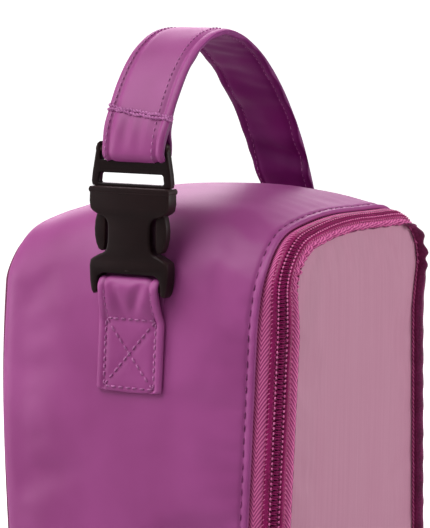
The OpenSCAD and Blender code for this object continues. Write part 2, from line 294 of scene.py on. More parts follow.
def sheet(name, rows, materials, closed=False, column_slots=None):
    """Smooth sheet through rows of points; UVs are lengths in metres."""
    n = len(rows[0])
    wide = n if closed else n - 1
    faces = []
    for a in range(0, (len(rows) - 1) * n, n):
        for j in range(wide):
            k = (j + 1) % n
            faces.append([a + j, a + k, a + n + k, a + n + j])
    slots = (column_slots or [0] * n)[:wide] * (len(rows) - 1)
    across = [0.0]
    middle = rows[len(rows) // 2]
    for a, b in zip(middle, middle[1:]):
        across.append(across[-1] + (b - a).length)
    uvs = []
    along = 0.0
    for i, row in enumerate(rows):
        if i:
            along += (row[n // 2] - rows[i - 1][n // 2]).length
        uvs += [(along, a) for a in across]
    return mesh_piece(name, [p for row in rows for p in row], faces, materials, slots, uvs)


def edit_mesh(piece, change):
    """Applies a change to a piece's mesh and turns its faces outward."""
    bm = bmesh.new()
    bm.from_mesh(piece.data)
    bm.verts.ensure_lookup_table()
    change(bm)
    bmesh.ops.recalc_face_normals(bm, faces=bm.faces)
    bm.to_mesh(piece.data)
    bm.free()


def capped_sheet(name, rows, materials, column_slots=None):
    """Closed sheet with both ends capped."""
    piece = sheet(name, rows, materials, True, column_slots)
    n = len(rows[0])
    last = (len(rows) - 1) * n

    def cap(bm):
        bm.faces.new([bm.verts[j] for j in range(n)])
        bm.faces.new([bm.verts[last + j] for j in reversed(range(n))])
    edit_mesh(piece, cap)
    return piece


def merge_close(piece, distance=0.02 * MM):
    def weld(bm):
        bmesh.ops.remove_doubles(bm, verts=bm.verts, dist=distance)
        bmesh.ops.dissolve_degenerate(bm, edges=bm.edges, dist=distance / 2)
    edit_mesh(piece, weld)


def evaluated_mesh(piece):
    depsgraph = bpy.context.evaluated_depsgraph_get()
    return bpy.data.meshes.new_from_object(piece.evaluated_get(depsgraph))


def apply_modifiers(piece):
    mesh = evaluated_mesh(piece)
    piece.modifiers.clear()
    piece.data = mesh


def subdivide(piece):
    smooth = piece.modifiers.new("smooth", "SUBSURF")
    smooth.levels = 1
    smooth.render_levels = 1
    apply_modifiers(piece)


def thicken(piece, thickness, offset=-1.0):
    solid = piece.modifiers.new("thickness", "SOLIDIFY")
    solid.thickness = thickness
    solid.offset = offset
    apply_modifiers(piece)


def back_sign(piece):
    """1 if a face's normals point to the back, -1 if to the front."""
    return 1.0 if sum(p.normal.y * p.area for p in piece.data.polygons) > 0 else -1.0


def inner_side(piece):
    """Side on which to thicken a wall so that it grows inward."""
    centre = Vector((0, 0, CREST_Z / 2))
    near_side = Vector((-0.1, 0, 0.15))
    polygon = min(piece.data.polygons, key=lambda p: (p.center - near_side).length)
    return -1.0 if polygon.normal.dot(polygon.center - centre) > 0 else 1.0


def puff(piece, pinned, pressure, growth, cap):
    """Lets cloth simulation swell and wrinkle a sheet whose pinned points
    stay put, then caps how far each point has moved."""
    group = piece.vertex_groups.new(name="pinned")
    rest = [v.co.copy() for v in piece.data.vertices]
    for i, co in enumerate(rest):
        group.add([i], pinned(co), "REPLACE")
    cloth = piece.modifiers.new("cloth", "CLOTH")
    settings = cloth.settings
    settings.vertex_group_mass = "pinned"
    settings.use_pressure = True
    settings.uniform_pressure_force = pressure
    settings.shrink_min = -growth
    settings.tension_stiffness = 40
    settings.bending_stiffness = 4
    settings.effector_weights.gravity = 0
    settings.quality = 6
    cloth.collision_settings.use_collision = False
    cloth.collision_settings.use_self_collision = False
    scene = bpy.context.scene
    for number in range(1, 21):
        scene.frame_set(number)
    moved = evaluated_mesh(piece)
    piece.modifiers.clear()
    piece.vertex_groups.clear()
    scene.frame_set(1)
    for vertex, co, goal in zip(piece.data.vertices, rest, moved.vertices):
        shift = goal.co - co
        if shift.length > cap:
            shift *= cap / shift.length
        vertex.co = co + shift
    bpy.data.meshes.remove(moved)


class Soup:
    """Collects many small tubes and beads in one mesh."""

    def __init__(self):
        self.verts = []
        self.faces = []
        self.slots = []

    def rings(self, rings, slot):
        """Skin over a row of rings, with both ends closed."""
        first = len(self.verts)
        n = len(rings[0])
        last = first + (len(rings) - 1) * n
        for ring in rings:
            self.verts += ring
        for a in range(first, last, n):
            for j in range(n):
                k = (j + 1) % n
                self.faces.append([a + j, a + k, a + n + k, a + n + j])
        self.faces.append([first + j for j in reversed(range(n))])
        self.faces.append([last + j for j in range(n)])
        self.slots += [slot] * (len(self.faces) - len(self.slots))

    def tube(self, path, radius, sides=6, slot=0, taper=False):
        """Round cord along a path, with thin ends if it tapers."""
        side = None
        rings = []
        last = len(path) - 1
        for i, p in enumerate(path):
            d = path[min(i + 1, last)] - path[max(i - 1, 0)]
            d.normalize()
            if side is None:
                side = d.orthogonal().normalized()
            side = (side - d * side.dot(d)).normalized()
            r = radius * 0.35 if taper and i in (0, last) else radius
            rings.append(circle(p, side, d.cross(side), r, sides))
        self.rings(rings, slot)

    def bead(self, centre, along, normal, length, radius):
        """Plump stitch lying along a surface."""
        side = along.cross(normal)
        turns = [math.radians(a) for a in (-70, -25, 25, 70)]
        self.rings([circle(centre + along * (length * math.sin(a)), side, normal,
                           radius * math.cos(a), 6) for a in turns], 0)

    def stitch(self, a, b, normal, radius, slot=0):
        """One stitch lying on a surface, its ends sinking in."""
        rise = [-1.0, 0.35, 0.6, 0.35, -1.0]
        path = [a.lerp(b, i / 4) + normal * (rise[i] * radius) for i in range(5)]
        self.tube(path, radius, 6, slot, taper=True)

    def seam(self, line, pitch, radius, share=0.72, jitter=0.0):
        """Stitches of one pitch along a line of (point, normal) pairs."""
        lengths = [0.0]
        for (a, _), (b, _) in zip(line, line[1:]):
            lengths.append(lengths[-1] + (b - a).length)

        def at(d):
            i = 0
            while i < len(lengths) - 2 and lengths[i + 1] < d:
                i += 1
            t = (d - lengths[i]) / max(lengths[i + 1] - lengths[i], 1e-9)
            return [a.lerp(b, t) for a, b in zip(line[i], line[i + 1])]
        count = max(1, round(lengths[-1] / pitch))
        step = lengths[-1] / count
        for k in range(count):
            shift = jitter * step * wobble(k * 1.7, 0.3, 0.0, 5)
            a, na = at(step * (k + (1 - share) / 2) + shift)
            b, nb = at(step * (k + (1 + share) / 2) + shift)
            self.stitch(a, b, (na + nb).normalized(), radius)

    def build(self, name, *materials):
        return mesh_piece(name, self.verts, self.faces, materials, self.slots)


def surface_finder(piece):
    """Function that drops a point on the nearest place of a piece."""
    tree = BVHTree.FromPolygons([v.co for v in piece.data.vertices],
                                [tuple(p.vertices) for p in piece.data.polygons])

    def find(point, outward):
        place = tree.ray_cast(point + outward * 6 * MM, -outward, 14 * MM)[0]
        return place if place is not None else tree.find_nearest(point)[0]
    return find


def join(name, pieces):
    """Joins finished pieces into the first one and renames it."""
    with bpy.context.temp_override(active_object=pieces[0],
                                   selected_editable_objects=pieces):
        bpy.ops.object.join()
    pieces[0].name = name
    return pieces[0]


# ---- Materials

BLACK = (0, 0, 0, 1)
WHITE = (1, 1, 1, 1)


def screen(*colours):
    """Linear colours from screen values 0 to 255."""
    return [tuple((c / 255) ** 2.2 for c in colour) + (1.0,) for colour in colours]


class Nodes:
    """Small helper for building one material's node tree."""

    def __init__(self, name, roughness, specular):
        self.material = bpy.data.materials.new(name)
        self.material.use_nodes = True
        self.tree = self.material.node_tree
        self.shader = self.tree.nodes["Principled BSDF"].inputs
        self.shader["Roughness"].default_value = roughness
        self.shader["Specular IOR Level"].default_value = specular

    def add(self, kind, **values):
        """New node; each value is an input, linked if it is a socket, or a setting."""
        node = self.tree.nodes.new("ShaderNode" + kind)
        for key, value in values.items():
            name = key.replace("_", " ")
            if name in node.inputs:
                self.put(value, node.inputs[name])
            else:
                setattr(node, key, value)
        return node

    def put(self, value, socket):
        if isinstance(value, bpy.types.NodeSocket):
            self.tree.links.new(value, socket)
        else:
            socket.default_value = value

    def coords(self, scale=(1, 1, 1)):
        place = self.add("TexCoord").outputs["Object"]
        return self.add("Mapping", Vector=place, Scale=scale).outputs["Vector"]

    def noise(self, scale, detail, vector, rough=0.5):
        return self.add("TexNoise", Scale=scale, Detail=detail, Roughness=rough,
                        Vector=vector).outputs["Fac"]

    def wave(self, scale, vector, distortion, direction):
        return self.add("TexWave", Scale=scale, Distortion=distortion, Vector=vector,
                        Detail_Scale=1.0, bands_direction=direction).outputs["Fac"]

    def math(self, operation, a, b=0.5):
        node = self.add("Math", operation=operation)
        self.put(a, node.inputs[0])
        self.put(b, node.inputs[1])
        return node.outputs[0]

    def total(self, *shares):
        """Weighted sum of (source, weight) pairs."""
        parts = [self.math("MULTIPLY", source, weight) for source, weight in shares]
        result = parts.pop()
        while parts:
            result = self.math("ADD", parts.pop(), result)
        return result

    def ramp(self, fac, low, dark, high, light):
        """Colour that runs from dark at low to light at high."""
        node = self.add("ValToRGB", Fac=fac)
        for stop, place, colour in zip(node.color_ramp.elements, (low, high), (dark, light)):
            stop.position = place
            stop.color = colour
        return node.outputs["Color"]

    def pale_edge_mask(self, low, high):
        """White along sharp outer edges, black elsewhere."""
        pointy = self.add("NewGeometry").outputs["Pointiness"]
        return self.ramp(pointy, low, BLACK, high, WHITE)

    def mix(self, fac, a, b):
        node = self.add("Mix", data_type="RGBA")
        for value, place in ((fac, 0), (a, 6), (b, 7)):
            self.put(value, node.inputs[place])
        return node.outputs[2]

    def colour(self, source):
        self.put(source, self.shader["Base Color"])

    def rough(self, low, high, fac):
        node = self.add("MapRange", To_Min=low, To_Max=high, Value=fac)
        self.put(node.outputs["Result"], self.shader["Roughness"])

    def bump(self, height, strength, distance, **before):
        node = self.add("Bump", Strength=strength, Distance=distance, Height=height, **before)
        self.put(node.outputs["Normal"], self.shader["Normal"])
        return node.outputs["Normal"]

    def sheen(self, weight, tint, roughness=0.5):
        self.shader["Sheen Weight"].default_value = weight
        self.shader["Sheen Tint"].default_value = tint
        self.shader["Sheen Roughness"].default_value = roughness
        return self.material


def leatherette(name, *colours):
    """Satin coated cloth: fine pebble grain, cloudy colour, worn bright edges."""
    base, deep, edge = screen(*colours)
    m = Nodes(name, 0.42, 0.5)
    place = m.coords()
    grain = m.noise(2600.0, 2.0, place)
    weave = m.noise(900.0, 3.0, place, 0.6)
    tone = m.ramp(m.noise(14.0, 3.0, place), 0.32, deep, 0.68, base)
    m.colour(m.mix(m.math("MULTIPLY", m.pale_edge_mask(0.52, 0.60), 0.35), tone, edge))
    m.rough(0.44, 0.60, weave)
    m.bump(weave, 0.10, 0.0003, Normal=m.bump(grain, 0.10, 0.00012))
    return m.sheen(0.16, edge)


def door_cloth(name, *colours):
    """Fine nylon with faint upright streaks."""
    base, streak = screen(*colours)
    m = Nodes(name, 0.6, 0.35)
    place = m.coords()
    streaks = m.noise(1.0, 3.0, m.coords((520, 520, 9)))
    fine = m.noise(1.0, 2.0, m.coords((1500, 1500, 60)))
    tone = m.total((streaks, 0.5), (fine, 0.3), (m.noise(9.0, 2.0, place), 0.2))
    m.colour(m.ramp(tone, 0.25, streak, 0.75, base))
    m.rough(0.5, 0.7, fine)
    threads = m.wave(900.0, place, 0.4, "X")
    m.bump(m.math("ADD", threads, m.math("MULTIPLY", fine, 1.5)), 0.16, 0.00012)
    return m.sheen(0.35, base, 0.4)


def herringbone(name, *colours):
    """Zip tape: slanting ribs that turn back on themselves in narrow bands."""
    light, dark = screen(*colours)
    band_w = 12 * MM
    rib_pitch = 2.7 * MM
    m = Nodes(name, 0.62, 0.3)
    uv = m.add("SeparateXYZ", Vector=m.add("TexCoord").outputs["UV"]).outputs
    zigzag = m.math("PINGPONG", uv[1], band_w)
    slant = m.math("ADD", uv[0], m.math("MULTIPLY", zigzag, 1.6))
    wave = m.math("SINE", m.math("MULTIPLY", slant, 2 * math.pi / rib_pitch))
    rib = m.math("MULTIPLY", m.math("ADD", wave, 1.0), 0.5)
    fuzz = m.noise(1800.0, 2.0, m.coords())
    m.colour(m.ramp(m.total((rib, 0.75), (fuzz, 0.25)), 0.2, dark, 0.75, light))
    m.bump(m.math("ADD", rib, m.math("MULTIPLY", fuzz, 0.4)), 0.5, 0.0003)
    return m.sheen(0.3, light)


def cord(name, *colours, roughness=0.55, scale=1600.0):
    """Thread or binding: twisted, slightly fuzzy yarn."""
    light, dark = screen(*colours)
    m = Nodes(name, roughness, 0.35)
    place = m.coords()
    fuzz = m.noise(scale, 2.0, place)
    tone = m.total((fuzz, 0.6), (m.noise(90.0, 2.0, place), 0.4))
    m.colour(m.ramp(tone, 0.36, dark, 0.64, light))
    m.bump(fuzz, 0.35, 0.0002)
    return m.sheen(0.2, light)


def moulded(name, *colours, roughness):
    """Moulded plastic: fine spark texture, paler sharp edges: scuffs, and on the zip's coil painted
    highlights.
    """
    base, edge = screen(*colours)
    m = Nodes(name, roughness, 0.16)
    place = m.coords()
    spark = m.noise(1900.0, 3.0, place, 0.6)
    cloud = m.noise(60.0, 4.0, place)
    # Paler sharp edges: scuffs, and on the coil a painted highlight along each loop of the teeth.
    scuffs_and_highlights = m.math("MULTIPLY", m.pale_edge_mask(0.50, 0.58), m.math("ADD", cloud, 0.3))
    body = m.mix(cloud, base, tuple(1.35 * c for c in base[:3]) + (1.0,))
    m.colour(m.mix(scuffs_and_highlights, body, edge))
    m.rough(roughness - 0.06, roughness + 0.12, spark)
    m.bump(spark, 0.12, 0.0001)
    return m.material


def brushed(name, *colours):
    """Plated zip metal with fine scratches."""
    base, dark = screen(*colours)
    m = Nodes(name, 0.35, 0.5)
    m.shader["Metallic"].default_value = 0.9
    scratch = m.noise(1.0, 3.0, m.coords((300, 300, 2600)))
    m.colour(m.ramp(scratch, 0.3, dark, 0.7, base))
    m.rough(0.25, 0.45, scratch)
    m.bump(scratch, 0.12, 0.0001)
    return m.material


def lining(name, *colours):
    """Plain woven lining cloth."""
    base, dark = screen(*colours)
    m = Nodes(name, 0.7, 0.3)
    place = m.coords()
    warp = m.wave(700.0, place, 0.3, "X")
    weft = m.wave(700.0, place, 0.3, "Z")
    weave = m.math("MULTIPLY", m.math("ADD", warp, weft), 0.5)
    tone = m.total((weave, 0.4), (m.noise(18.0, 3.0, place), 0.6))
    m.colour(m.ramp(tone, 0.3, dark, 0.7, base))
    m.bump(weave, 0.25, 0.0002)
    return m.sheen(0.25, base)


ORCHID = leatherette("orchid_leatherette", (164, 70, 140), (144, 52, 120), (214, 130, 194))
# Darker, more saturated copy of the leatherette for the strap's underside: painted shade inside the
# handle.
ORCHID_SHADED_INNER = leatherette("shaded_inner_leatherette", (126, 2, 108), (92, 0, 82), (170, 50, 146))
DOOR = door_cloth("door_nylon", (196, 140, 164), (184, 122, 148))
TAPE = herringbone("zip_tape_weave", (236, 122, 180), (168, 46, 116))
THREAD = cord("orchid_thread", (206, 128, 186), (132, 58, 116))
SEAM_THREAD = cord("seam_thread", (150, 66, 128), (100, 34, 84))
ZIP_THREAD = cord("zip_thread", (244, 140, 194), (214, 88, 154))
COIL_THREAD = cord("coil_thread", (164, 16, 104), (122, 4, 74), roughness=0.4)
# Dark cord for the back piping and the door's binding; its tone copies the zip tape in shade, so
# its darkness is partly painted shade.
BINDING = cord("dark_binding", (130, 36, 92), (92, 18, 62), roughness=0.5, scale=900.0)
# The coil's paler edge colour is a painted highlight on the loops of its teeth.
COIL = moulded("coil_nylon", (84, 0, 48), (150, 34, 98), roughness=0.45)
BUCKLE = moulded("buckle_plastic", (22, 8, 11), (60, 42, 43), roughness=0.40)
BOARD = moulded("base_board_plastic", (50, 46, 50), (96, 92, 96), roughness=0.55)
METAL = brushed("zip_metal", (170, 168, 170), (110, 106, 108))
LINING = lining("lining_cloth", (178, 120, 150), (140, 86, 116))
BASE = lining("base_cloth", (92, 50, 78), (58, 28, 50))


# ---- Walls

def wrap_section():
    """Inset and depth across the wrap, from the rear seam to the front hem."""
    rear = turn_in(REAR_R, BACK_Y, -1, (REAR_TURN, 62, 50, 38, 26, 13))
    wall = [(0.0, y) for y in stations(BACK_Y - REAR_R, FRONT_Y + 9 * MM, 6 * MM)]
    near = from_front([(0, depth) for depth in (7.5, 6.3, 5.5, 4.8, 4.1, 3.2, 2.2)])
    fold = turn_in(FOLD_R, FRONT_Y, 1, (20, 50, 80, 110, 140, 165))
    hem = [(2 * FOLD_R, y) for _, y in from_front([(0, 3), (0, 6), (0, 10)])]
    return rear + wall + near + fold + hem


def wrap_puff(s, y):
    """How far the padded wall stands out at a place."""
    v = (y - STITCH_Y) / (BACK_Y - STITCH_Y)
    swell = 2.4 * MM * math.sin(math.pi * min(max(v, 0), 1)) ** 0.55 if v > 0 else 0.0
    groove = 0.6 * MM * bell(y - STITCH_Y, 1.3 * MM)
    pucker = 0.35 * MM * math.sin(2 * math.pi * s / PUCKER_PITCH + 2 * wobble(s * 30, 0, 0))
    pucker *= math.exp(-abs(y - STITCH_Y) / (5 * MM))
    dents = 1.5 * MM * wobble(s * 11, y * 9, 0.4) + 0.5 * MM * wobble(s * 34, y * 25, 2.1)
    tuck = 2.2 * MM * math.exp(-min(s, full_len - s) / (7 * MM))
    soft = dents * min(1, max(v, 0) * 6) + pucker if y > FRONT_Y + 2 * MM else 0.0
    return swell - groove - tuck + soft


def hem_back(s):
    """The wrap's front edge sits a little further back down the sides."""
    return HEM_BACK * ease((abs(s - half_len) - 90 * MM) / (50 * MM))


def build_wrap():
    section = wrap_section()
    hem_from = len(section) - 3
    rows = []
    for s in stations(0, full_len, 4.5 * MM):
        row = []
        for j, (inset, y) in enumerate(section):
            out = 0.0 if j >= hem_from else wrap_puff(s, y)
            row.append(on_arch(s, inset - out, y + hem_back(s) * ease((BACK_Y - y) / (160 * MM))))
        rows.append(row)
    piece = sheet("side_wrap_leatherette", rows, [ORCHID])

    def pinned(co):
        held = (co.y < STITCH_Y + 5 * MM or co.y > BACK_Y - REAR_R + 4 * MM
                or co.z < FOOT_Z + 4 * MM)
        return 1.0 if held else 0.0
    puff(piece, pinned, 1.5, 0.006, 3.0 * MM)
    thicken(piece, SKIN_T, inner_side(piece))
    subdivide(piece)
    fasten(piece, "bag", "leatherette", "side_wrap")
    return piece


def build_wrap_stitches(wrap):
    find = surface_finder(wrap)
    line = []
    for s in stations(2 * MM, full_len - 2 * MM, 2 * MM):
        nx, nz = arch(s)[1]
        out = Vector((nx, 0, nz))
        line.append((find(on_arch(s, 0, STITCH_Y + hem_back(s)), out), out))
    soup = Soup()
    soup.seam(line, WRAP_STITCH, 0.42 * MM, 0.70)
    fasten(soup.build("wrap_topstitch", SEAM_THREAD), "bag", "thread")


def arch_face(name, inset, z0, y_edge, y_at, material, rows=46, half_cols=16):
    """Face that fills the arch down to z0. Its edge is inset(s) inside the
    arch, and y_at(distance from the edge, s, point) gives its depth."""
    start = foot_s(z0)
    spine_top = CREST_Z - 60 * MM
    grid = []
    for i in range(rows + 1):
        t = i / rows
        s = start + (half_len - start) * t
        edges = [on_arch(at, inset(at), y_edge) for at in (s, full_len - s)]
        lean = edges[0].y - y_edge
        left, right = [Vector((e.x, 0, max(e.z, z0))) for e in edges]
        spine = Vector((0, 0, z0 + (spine_top - z0) * t))
        row = []
        for j in range(-half_cols, half_cols + 1):
            share = 1 - abs(j) / half_cols
            edge = left if j <= 0 else right
            p = edge.lerp(spine, share ** 1.5)
            d = min((p - edge).length, p.z - z0)
            p.y = y_at(d, s if j <= 0 else full_len - s, p) + lean
            row.append(p)
        grid.append(row)
    piece = sheet(name, grid, [material])
    merge_close(piece)
    return piece


def build_back():
    def depth(d, s, p):
        swell = 2.0 * MM * (1 - math.exp(-d / (9 * MM)))
        return BACK_Y - 0.6 * MM + swell + 0.7 * MM * wobble(p.x * 12, 3, p.z * 12)
    piece = arch_face("back_panel_leatherette", lambda s: REAR_IN + 0.2 * MM, FOOT_Z, BACK_Y,
                      depth, ORCHID)
    thicken(piece, SKIN_T, -back_sign(piece))
    fasten(piece, "bag", "leatherette", "back_panel")


def build_piping():
    """Stitched cord round the seam of the back."""
    soup = Soup()
    soup.tube([on_arch(s, REAR_IN + 0.4 * MM, BACK_Y - 0.4 * MM)
               for s in stations(0, full_len, 4 * MM)], 1.6 * MM, 10)
    for s in stations(0, full_len, 5 * MM):
        ends = [on_arch(at, REAR_IN + 2.6 * MM, BACK_Y + 0.5 * MM)
                for at in (s - 1.4 * MM, s + 1.4 * MM)]
        soup.stitch(*ends, Vector((0, 1, 0)), 0.3 * MM, 1)
    fasten(soup.build("back_seam_piping", BINDING, SEAM_THREAD), "bag", "piping_cloth",
           "back_piping")


def build_lining():
    """Lining shell with its rolled front edge."""
    wall_in = 8.4 * MM
    section = from_front([(3.3, 9), (3.4, 4.2), (4.2, 3.1), (6.0, 2.7), (7.6, 3.2), (8.3, 5),
                          (8.4, 12)])
    section += [(wall_in, y) for y in stations(FRONT_Y + 22 * MM, back_low.y, 9 * MM)]
    rows = []
    for s in stations(0, full_len, 6 * MM):
        rows.append([on_arch(s, inset + abs(0.5 * MM * wobble(s * 20, y * 18, 6))
                             * (inset > 8 * MM), y) for inset, y in section])
    piece = sheet("wall_lining_cloth", rows, [LINING])
    thicken(piece, LINING_T)
    fasten(piece, "bag", "lining_cloth", "wall_lining", "wall_foam")


def build_back_lining():
    def depth(d, s, p):
        pad = 1.6 * MM * (1 - math.exp(-d / (8 * MM)))
        return back_high.y - 0.4 * MM - pad + 0.4 * MM * wobble(p.x * 14, 5, p.z * 14)
    pad = arch_face("back_lining_pad", lambda s: REAR_IN + 1 * MM, FOOT_Z + 1 * MM, back_low.y,
                    depth, LINING)
    thicken(pad, LINING_T)
    fasten(pad, "bag", "lining_cloth", "back_lining", "back_foam")


def build_base():
    """Base cloth as a shallow padded tray with a bound lower edge."""
    cut = 14 * MM
    front_r = 6 * MM
    half_w = foot_x - 0.4 * MM
    back = base_high.y - 1 * MM
    front = base_low.y + 1 * MM
    outline = arc(half_w - REAR_R, back - REAR_R, REAR_R, 90, 0, 8)
    outline += arc(half_w - front_r, FRONT_Y + front_r, front_r, 0, -45, 3)
    outline += arc(half_w - cut - front_r, front + front_r, front_r, -45, -90, 3)
    outline += [(-x, y) for x, y in reversed(outline)]
    rows = [[Vector((0, 0, 2.0 * MM))] * len(outline)]
    for inset, z in ((3.0, 2.0), (1.2, 1.9), (0.3, 1.4), (0.0, 0.9), (0.5, 0.35), (2.2, 0.05),
                     (8.0, 0.0), (30.0, 0.0), (60.0, 0.0)):
        wide = 1 - inset * MM / half_w
        deep = 1 - inset * MM / back
        rows.append([Vector((x * wide, y * deep, z * MM)) for x, y in outline])
    rows.append([Vector((0, 0, 0))] * len(outline))
    piece = sheet("base_cloth_tray", rows, [BASE], closed=True)
    merge_close(piece)
    fasten(piece, "bag", "base_cloth", "base_cloth")


def build_sill():
    """Fixed low front below the door, with a stitched top edge."""
    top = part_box("front_sill")[1].z
    rows = []
    for z in stations(FOOT_Z, top - 1.5 * MM, 3 * MM):
        edge = side_x(z) - 15.6 * MM
        bulge = 1.6 * MM * math.sin(math.pi * (z - FOOT_Z) / (top - FOOT_Z)) ** 0.6
        row = []
        for x in stations(-edge, edge, 6 * MM):
            side = 1 - math.exp(-(edge - abs(x)) / (5 * MM))
            ripple = 0.3 * MM * wobble(x * 60, 0.5, z * 30)
            row.append(Vector((x, door_high.y - 1.0 * MM - (bulge + ripple) * side, z)))
        rows.append(row)
    edge_row = rows[-1]
    for dy, dz in ((-0.3, 0.8), (0.2, 1.4), (1.4, 1.5), (3.0, 1.3), (3.2, -1.0), (3.2, -8.0)):
        rows.append([p + Vector((0, dy * MM, dz * MM)) for p in edge_row])
    piece = sheet("front_sill_cloth", rows, [DOOR])
    thicken(piece, CLOTH_T, -back_sign(piece))
    fasten(piece, "bag", "door_cloth", "front_sill", "sill_board")
    below = Vector((0, -0.25 * MM, -2.5 * MM))
    soup = Soup()
    soup.seam([(p + below, Vector((0, -1, 0))) for p in edge_row[1:-1]], 3.4 * MM, 0.28 * MM)
    fasten(soup.build("sill_topstitch", SEAM_THREAD), "bag", "thread")


def build_hinge_flap():
    """Soft strip across the door's hinge line."""
    edge = side_x(HINGE_Z) - 17.5 * MM
    rows = []
    for dz in (-15, -9, -5, -3, -1.5, 0, 1.5, 3, 5, 9, 13):
        y = HINGE_Y + 0.6 * MM - 0.5 * MM * bell(dz, 3)
        rows.append([Vector((x, y + 0.15 * MM * wobble(x * 80, 0, dz), HINGE_Z + dz * MM))
                     for x in stations(-edge, edge, 5 * MM)])
    piece = sheet("hinge_flap", rows, [DOOR])
    thicken(piece, CLOTH_T)
    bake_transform(piece)
    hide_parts("hinge_strip")


# ---- Zip

def tape_piece(name, sections, body, *nodes):
    """Zip tape through sections along the outline, thickened inward."""
    rows = [[on_arch(s, inset, y) for inset, y in section] for s, section in sections]
    piece = sheet(name, rows, [TAPE])
    thicken(piece, 0.5 * MM, inner_side(piece))
    fasten(piece, body, "zip_tape", *nodes)


def build_body_tape():
    section = from_front([(3.4, 13), (3.4, 5), (3.5, 1.6), (3.5, -0.2), (3.9, -1.4), (4.7, -2.6)])
    section += band_points((6.2, 7.6, 9.0, 10.3, 11.4))
    sections = []
    for s in stations(0, full_len, 3 * MM):
        ripple = 0.25 * MM * wobble(s * 70, 0, 1.5)
        sections.append((s, [(inset - ripple * (2 <= j <= 5), y)
                             for j, (inset, y) in enumerate(section)]))
    tape_piece("zip_tape_on_wrap", sections, "bag", "zip_tape_body")


def rim_gather(s):
    """Gathers of the door's tape: strong over the top and shoulders."""
    return 0.15 + 0.85 * (1 - ease((abs(s - half_len) - 92 * MM) / (30 * MM)))


def far_side(s):
    """1 down the right-hand side of the door, 0 elsewhere."""
    return ease((s - half_len - 50 * MM) / (22 * MM))


def rim_inset(s, inset):
    """The tape's fold is wide over the top and tucked in down the sides."""
    tuck = 0.45 * ease((abs(s - half_len) - 88 * MM) / (40 * MM))
    return RIM_IN + (inset - RIM_IN) * (1 - tuck)


def pucker(s):
    """Uneven gathers along the door's tape, from -1 to 1."""
    return math.sin(2 * math.pi * s / GATHER_PITCH + 2.6 * wobble(s * 60, 0.2, 0.7))


def rim_section(s):
    """Section of the door's tape, which folds over the edge of the door."""
    gather = rim_gather(s)
    lift = 1.3 * MM * gather * (pucker(s) + 1.2 * wobble(s * 230, 2.0, 0.1))
    slack = 1.8 * MM * gather * (wobble(s * 110, 4.0, 3.3) + 0.6 * pucker(s + 1.5 * MM))
    y = RIM_Y
    bend = [(15.9 * MM, y + 1.3 * MM - 0.3 * lift), (17.0 * MM, y + 0.3 * MM - 0.6 * lift),
            (18.6 * MM, y - 0.2 * MM - lift), (20.4 * MM + slack / 2, y - 0.1 * MM - lift),
            (21.9 * MM + slack, y + 0.5 * MM - lift / 2), (22.2 * MM + slack, y + 1.5 * MM),
            (21.0 * MM, y + 2.1 * MM)]
    return band_points(TAPE_U) + [(rim_inset(s, inset), depth) for inset, depth in bend]


def door_run(step):
    """Stations along the door's edge, from hinge to hinge."""
    start = foot_s(DOOR_Z + 0.4 * MM)
    return stations(start, full_len - start, step)


def build_door_tape():
    tape_piece("zip_tape_on_door", [(s, rim_section(s)) for s in door_run(1.2 * MM)], "door",
               "zip_tape_door")


def build_door_binding():
    """Rolled binding between the tape and the door's cloth. Down the far side
    it swells into a thick roll that is gathered round the shoulder; there its dark colour also
    paints the shade on the tape's far edge."""
    run = door_run(1.5 * MM)
    rows = []
    for s in run:
        far = far_side(s) * ease((run[-1] - s) / (30 * MM))
        gather = rim_gather(s)
        bump = math.sin(2 * math.pi * s / BUMP_PITCH + 1.5 * wobble(s * 40, 1.0, 0.4))
        swell = 1 + 0.34 * gather * bump + 0.10 * wobble(s * 220, 0.0, 1.0)
        r = (0.9 + 1.5 * far * swell) * MM
        inset = rim_inset(s, 22.6 * MM) - 2.0 * MM * far + 0.5 * MM * gather * bump
        y = RIM_Y + (1.5 - 3.4 * far) * MM - 0.7 * MM * far * gather * bump
        rows.append([on_arch(s, inset + r * math.cos(a), y - 1.25 * r * math.sin(a))
                     for a in [2 * math.pi * k / 12 for k in range(12)]])
    piece = capped_sheet("door_edge_binding", rows, [BINDING])
    fasten(piece, "door", "piping_cloth", "door_binding")


def band_frame(s, u, n):
    """Point on the band: u and n in millimetres from the chain's middle."""
    inset, y = on_band(CHAIN_U + u * MM, n * MM)
    return on_arch(s, inset, y)


def side_runs(z0, z1):
    """Runs of the outline between two heights, up one side and down the other."""
    start = foot_s(z0)
    end = foot_s(z1)
    return [(start, end), (full_len - end, full_len - start)]


def add_teeth(coil, thread, side, start, end):
    """Looped teeth with a stitch over each gap and a stitch at each root."""
    legs = ((5.2, 1.1, 0.02), (4.2, 1.6, 0.06), (2.2, 2.0, 0.1),
            (0.6, 2.15, 0.12), (-1.0, 2.0, 0.12), (-1.5, 1.3, 0.12), (-1.0, 0.7, 0.12))
    shift = 0.0 if side < 0 else TOOTH_PITCH / 2
    for k in range(int((end - start) / TOOTH_PITCH)):
        s = start + shift + k * TOOTH_PITCH
        coil.tube([band_frame(s - lag * 12 * MM, side * u, n) for u, n, lag in legs], TOOTH_R)
        gap = s + TOOTH_PITCH / 2
        along = (band_frame(gap + 1 * MM, 0, 0) - band_frame(gap - 1 * MM, 0, 0)).normalized()
        low = band_frame(gap, side * 2.7, 0)
        normal = (band_frame(gap, side * 2.7, 1) - low).normalized()
        thread.bead(low + normal * 2.35 * MM, along, normal, 0.85 * MM, 0.52 * MM)
        a = band_frame(s, side * 6.9, 0.3)
        b = band_frame(s + 1.3 * MM, side * 5.5, 1.6)
        thread.tube([a, a.lerp(b, 0.5) + normal * 0.25 * MM, b], 0.34 * MM, 5, taper=True)


